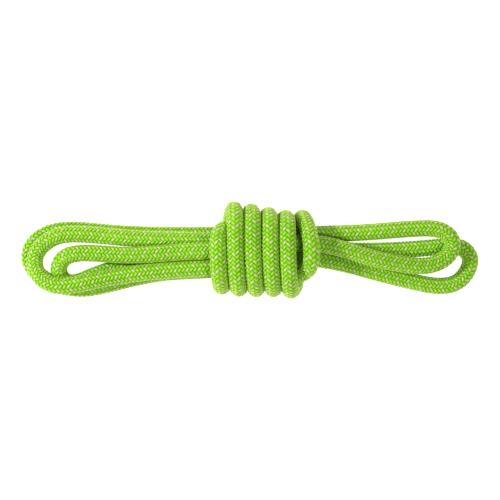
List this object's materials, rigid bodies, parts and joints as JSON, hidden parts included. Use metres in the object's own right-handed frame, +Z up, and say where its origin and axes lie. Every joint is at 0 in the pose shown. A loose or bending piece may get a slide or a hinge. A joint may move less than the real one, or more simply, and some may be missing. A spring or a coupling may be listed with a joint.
{
  "type": "dynamic climbing rope",
  "caption": "Short hank of bright green kernmantle climbing rope, folded into bights and closed with a row of wrapping turns.",
  "frame": {"origin": "bottom centre of the hank's box, on the surface it lies on", "axes": "+X along the hank, towards the end with two bights; +Z up, away from the surface it lies on; +Y across the hank, towards the side where the wrapping turns start"},
  "size_m": [0.2309, 0.0486, 0.0414],
  "materials": {
    "braided_sheath": "satin",
    "tracer_yarn": "satin",
    "core_yarn": "matte",
    "marker_tape": "satin",
    "melted_end": "gloss"
  },
  "bodies": {
    "root": {"sheath": "braided_sheath", "core_strand_1": "core_yarn", "core_strand_2": "core_yarn", "core_strand_3": "core_yarn", "core_strand_4": "core_yarn", "core_strand_5": "core_yarn", "core_strand_6": "core_yarn", "core_strand_7": "core_yarn", "marker_tape": "marker_tape", "sealed_end_start": "melted_end", "sealed_end_finish": "melted_end"}
  },
  "joints": []
}
